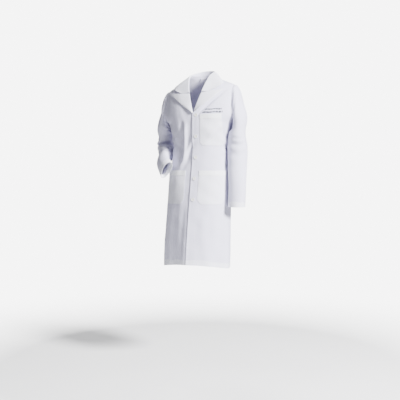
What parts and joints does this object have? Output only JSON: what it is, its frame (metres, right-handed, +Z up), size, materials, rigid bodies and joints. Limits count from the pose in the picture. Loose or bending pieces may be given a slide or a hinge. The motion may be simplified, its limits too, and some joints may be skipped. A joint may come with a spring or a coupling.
{
  "type": "lab coat",
  "caption": "White knee-length lab coat with a notched lapel collar, buttoned front, patch pockets and long sleeves, one sleeve hanging and one bent, shaped as worn.",
  "frame": {"origin": "centre of the neck opening, level with the seam at the back of the neck", "axes": "+X to the wearer's left, -Y out of the front, +Z up"},
  "size_m": [0.5021, 0.2897, 0.9868],
  "materials": {
    "cloth": "matte",
    "cloth_trim": "matte",
    "button": "satin",
    "thread": "matte",
    "mark": "matte"
  },
  "bodies": {
    "coat_body": {"left_front": "cloth", "left_facing": "cloth_trim", "left_back": "cloth", "left_back_hem": "cloth_trim", "right_front": "cloth", "right_facing": "cloth_trim", "right_back": "cloth", "right_back_hem": "cloth_trim", "upper_collar": "cloth", "under_collar": "cloth", "collar_stand": "cloth", "left_lapel": "cloth", "right_lapel": "cloth", "chest_pocket": "cloth", "chest_pocket_hem": "cloth_trim", "left_pocket": "cloth", "left_pocket_hem": "cloth_trim", "right_pocket": "cloth", "right_pocket_hem": "cloth_trim", "stitched_mark": "mark", "button_1": "button", "button_thread_1": "thread", "button_2": "button", "button_thread_2": "thread", "button_3": "button", "button_thread_3": "thread", "button_4": "button", "button_thread_4": "thread", "button_5": "button", "button_thread_5": "thread", "left_sleeve_cap": "cloth", "right_sleeve_cap": "cloth", "neck_label": "cloth_trim", "hanger_loop": "cloth_trim"},
    "left_skirt": {"left_skirt_flap": "cloth", "left_skirt_hem": "cloth_trim"},
    "right_skirt": {"right_skirt_flap": "cloth", "right_skirt_hem": "cloth_trim"},
    "left_upper_arm": {"left_upper_sleeve": "cloth"},
    "left_forearm": {"left_lower_sleeve": "cloth", "left_cuff_hem": "cloth_trim"},
    "right_upper_arm": {"right_upper_sleeve": "cloth"},
    "right_forearm": {"right_lower_sleeve": "cloth", "right_cuff_hem": "cloth_trim"}
  },
  "joints": [
    {"name": "left_shoulder", "type": "hinge", "parent": "coat_body", "child": "left_upper_arm", "pos_m": [0.1685, 0.002, -0.1384], "axis": [0, -1, 0], "range_deg": [0, 70]},
    {"name": "left_elbow", "type": "hinge", "parent": "left_upper_arm", "child": "left_forearm", "pos_m": [0.18586, 0, -0.352], "axis": [-1, 0, 0], "range_deg": [0, 55]},
    {"name": "right_shoulder", "type": "hinge", "parent": "coat_body", "child": "right_upper_arm", "pos_m": [-0.1685, 0.002, -0.1636], "axis": [0, 1, 0], "range_deg": [0, 45]},
    {"name": "right_elbow", "type": "hinge", "parent": "right_upper_arm", "child": "right_forearm", "pos_m": [-0.23674, 0.13897, -0.36669], "axis": [0.9038, 0.2567, -0.3423], "range_deg": [0, 35]},
    {"name": "left_skirt_swing", "type": "hinge", "parent": "coat_body", "child": "left_skirt", "pos_m": [-0.00095, -0.15713, -0.64553], "axis": [-0.4754, -0.2332, 0.8483], "range_deg": [0, 60]},
    {"name": "right_skirt_swing", "type": "hinge", "parent": "coat_body", "child": "right_skirt", "pos_m": [0.01553, -0.12478, -0.65066], "axis": [0.5541, -0.2109, 0.8053], "range_deg": [0, 18]}
  ]
}
